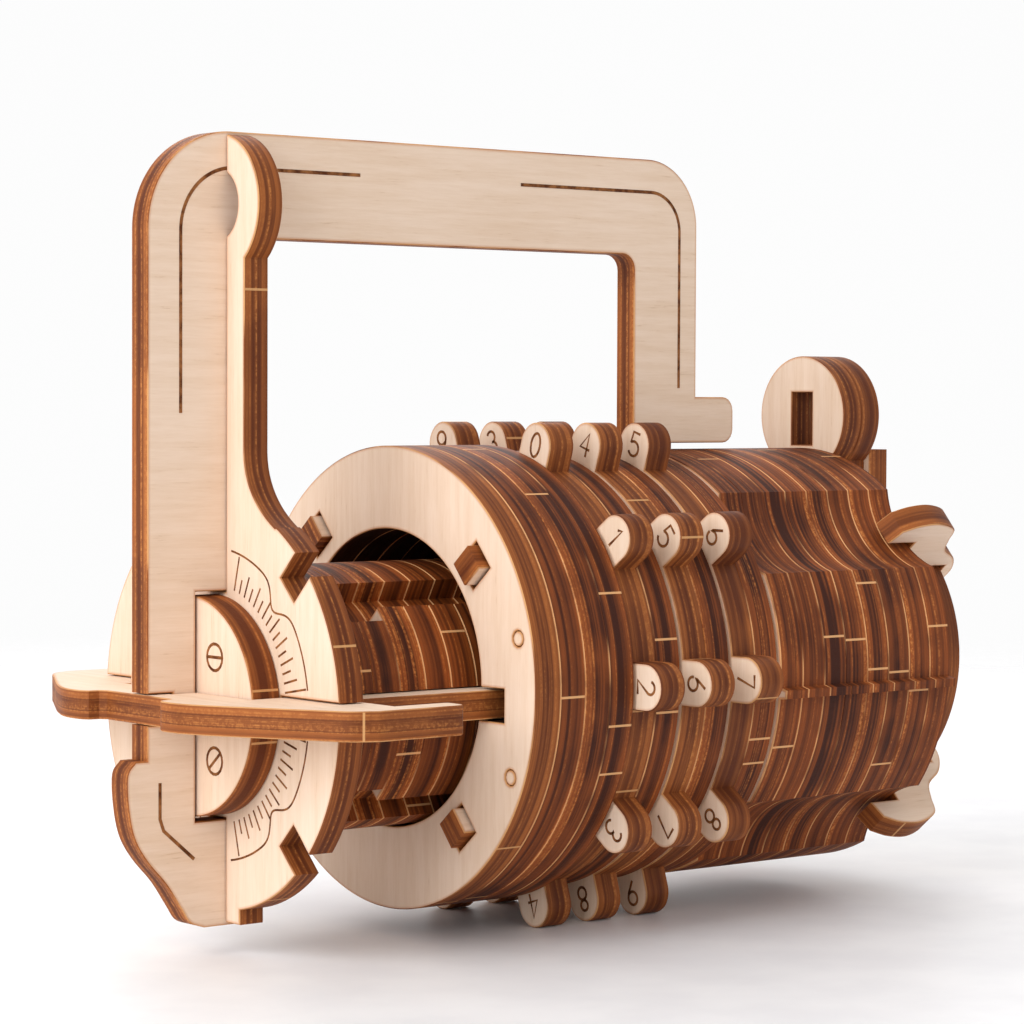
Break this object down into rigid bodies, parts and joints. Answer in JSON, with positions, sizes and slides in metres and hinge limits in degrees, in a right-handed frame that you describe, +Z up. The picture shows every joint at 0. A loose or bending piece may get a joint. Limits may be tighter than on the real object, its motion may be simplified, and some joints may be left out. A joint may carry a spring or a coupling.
{
  "type": "cryptex",
  "caption": "Wooden cryptex lock made of plywood layers: a barrel with numbered rings, and a shackle on a plunger that slides out when the digits line up",
  "frame": {"origin": "middle of the overall box, on the surface that the ring tabs stand on", "axes": "+X along the barrel from the plunger's head to the back cover, +Z up towards the shackle's bar, the index nib on the -Y side"},
  "size_m": [0.1216, 0.065, 0.0961],
  "materials": {
    "birch_ply": "pale birch plywood face, unvarnished, with browned laser-cut edges",
    "browned_ply": "stacked birch plywood seen edge on, browned by the laser in bands"
  },
  "bodies": {
    "barrel": {"front_cover": "birch_ply", "front_layer_2": "browned_ply", "front_layer_3": "browned_ply", "front_layer_4": "browned_ply", "back_layer_1": "browned_ply", "back_layer_2": "browned_ply", "back_layer_3": "browned_ply", "back_layer_4": "browned_ply", "back_layer_5": "browned_ply", "back_layer_6": "browned_ply", "back_layer_7": "browned_ply", "back_layer_8": "browned_ply", "eye_plate_front": "birch_ply", "eye_plate_rear": "birch_ply", "back_cover": "birch_ply", "rib_upper_near": "birch_ply", "rib_lower_near": "birch_ply", "rib_upper_far": "birch_ply", "rib_lower_far": "birch_ply", "dowel_upper_near": "birch_ply", "dowel_lower_near": "birch_ply", "dowel_upper_far": "birch_ply", "dowel_lower_far": "birch_ply"},
    "plunger": {"shackle_plate": "birch_ply", "dial_plate": "birch_ply", "screw_disc": "birch_ply", "key_plate": "birch_ply", "core_disc_1": "browned_ply", "core_disc_2": "browned_ply", "core_disc_3": "browned_ply", "core_disc_4": "browned_ply", "core_disc_5": "browned_ply", "core_disc_6": "browned_ply", "core_disc_7": "browned_ply", "core_disc_8": "browned_ply"},
    "ring_1": {"digit_ring_1": "birch_ply", "gate_ring_1": "browned_ply"},
    "ring_2": {"digit_ring_2": "birch_ply", "gate_ring_2": "browned_ply"},
    "ring_3": {"digit_ring_3": "birch_ply", "gate_ring_3": "browned_ply"}
  },
  "joints": [
    {"name": "ring_1_turn", "type": "hinge", "parent": "barrel", "child": "ring_1", "pos_m": [-0.00276, 0, 0.03113], "axis": [1, 0, 0], "continuous": true},
    {"name": "ring_2_turn", "type": "hinge", "parent": "barrel", "child": "ring_2", "pos_m": [0.00534, 0, 0.03113], "axis": [1, 0, 0], "continuous": true},
    {"name": "ring_3_turn", "type": "hinge", "parent": "barrel", "child": "ring_3", "pos_m": [0.01344, 0, 0.03113], "axis": [1, 0, 0], "continuous": true},
    {"name": "plunger_slide", "type": "slide", "parent": "barrel", "child": "plunger", "axis": [1, 0, 0], "range_m": [0, 0.02]}
  ]
}
